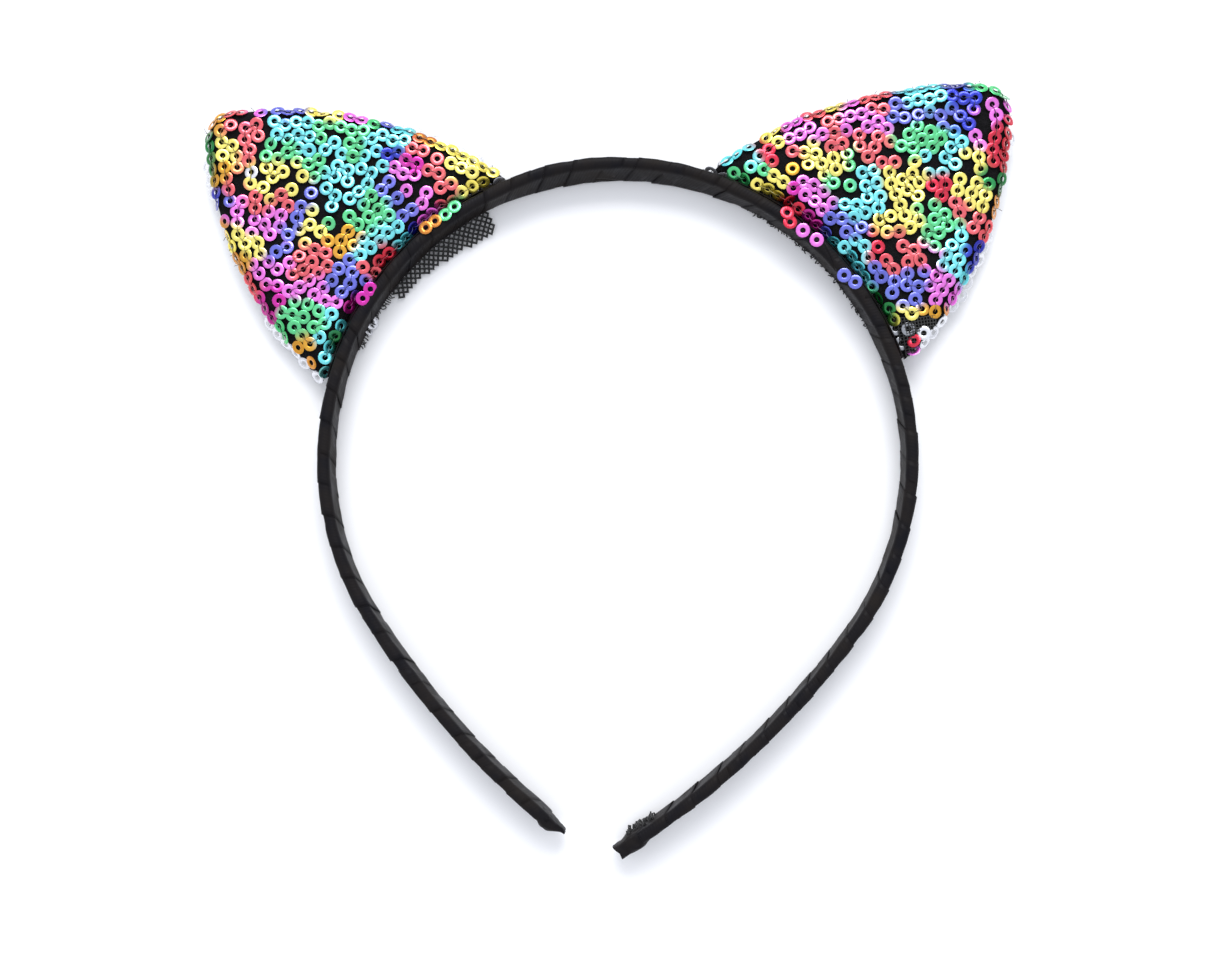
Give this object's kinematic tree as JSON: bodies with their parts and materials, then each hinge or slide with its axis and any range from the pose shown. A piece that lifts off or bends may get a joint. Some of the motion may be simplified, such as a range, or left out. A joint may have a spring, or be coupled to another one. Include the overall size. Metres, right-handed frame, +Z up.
{
  "type": "animal ears headband",
  "caption": "Springy hair hoop wound in black satin ribbon, open at the bottom, with two padded cat ears covered in rainbow sequins on net.",
  "frame": {"origin": "under the middle of the whole object as it lies flat, on the surface that it rests on", "axes": "+Y from the open ends towards the ears, +X to the right when the ears' fronts face the viewer, +Z up out of the ears' fronts"},
  "size_m": [0.1692, 0.1602, 0.007],
  "materials": {
    "spring_steel": "rolled strip, hidden by the ribbon",
    "black_ribbon": "satin ribbon wound edge over edge",
    "black_felt": "soft needled wadding",
    "black_net": "fine knitted polyester net",
    "rainbow_sequins": "metallised film rings with a printed rainbow",
    "silver_sequins": "plain silver metallised film rings"
  },
  "bodies": {
    "crown": {"strip_crown": "spring_steel", "ribbon_crown": "black_ribbon"},
    "left_side": {"strip_left_side": "spring_steel", "ribbon_left_side": "black_ribbon", "left_base_hem": "black_ribbon", "left_net_flap": "black_net"},
    "left_arm": {"strip_left_arm": "spring_steel", "ribbon_left_arm": "black_ribbon", "left_ribbon_end": "black_ribbon"},
    "left_ear": {"left_ear_padding": "black_felt", "left_ear_front_net": "black_net", "left_ear_back_net": "black_net", "left_ear_front_sequins": "rainbow_sequins", "left_ear_back_sequins": "silver_sequins"},
    "right_side": {"strip_right_side": "spring_steel", "ribbon_right_side": "black_ribbon", "right_base_hem": "black_ribbon", "right_net_flap": "black_net"},
    "right_arm": {"strip_right_arm": "spring_steel", "ribbon_right_arm": "black_ribbon", "right_ribbon_end": "black_ribbon"},
    "right_ear": {"right_ear_padding": "black_felt", "right_ear_front_net": "black_net", "right_ear_back_net": "black_net", "right_ear_front_sequins": "rainbow_sequins", "right_ear_back_sequins": "silver_sequins"}
  },
  "joints": [
    {"name": "left_crown_flex", "type": "hinge", "parent": "crown", "child": "left_side", "pos_m": [-0.01799, 0.05916, 0.0035], "axis": [0, 0, -1], "range_deg": [-1, 12], "stiffness_Nm_per_rad": 1.5},
    {"name": "left_temple_flex", "type": "hinge", "parent": "left_side", "child": "left_arm", "pos_m": [-0.05754, 0.01285, 0.0035], "axis": [0, 0, -1], "range_deg": [-1, 8], "stiffness_Nm_per_rad": 1.5},
    {"name": "left_ear_tilt", "type": "hinge", "parent": "left_side", "child": "left_ear", "pos_m": [-0.04304, 0.04191, 0.0035], "axis": [0.6626, 0.749, 0], "range_deg": [-25, 25], "stiffness_Nm_per_rad": 0.05},
    {"name": "right_crown_flex", "type": "hinge", "parent": "crown", "child": "right_side", "pos_m": [0.01811, 0.06058, 0.0035], "axis": [0, 0, 1], "range_deg": [-1, 12], "stiffness_Nm_per_rad": 1.5},
    {"name": "right_temple_flex", "type": "hinge", "parent": "right_side", "child": "right_arm", "pos_m": [0.06168, 0.01545, 0.0035], "axis": [0, 0, 1], "range_deg": [-1, 8], "stiffness_Nm_per_rad": 1.5},
    {"name": "right_ear_tilt", "type": "hinge", "parent": "right_side", "child": "right_ear", "pos_m": [0.04493, 0.04487, 0.0035], "axis": [0.7114, -0.7028, 0], "range_deg": [-25, 25], "stiffness_Nm_per_rad": 0.05}
  ],
  "couplings": [
    {"joint": "left_temple_flex", "follows": "left_crown_flex", "ratio": 0.6},
    {"joint": "right_temple_flex", "follows": "right_crown_flex", "ratio": 0.6}
  ]
}
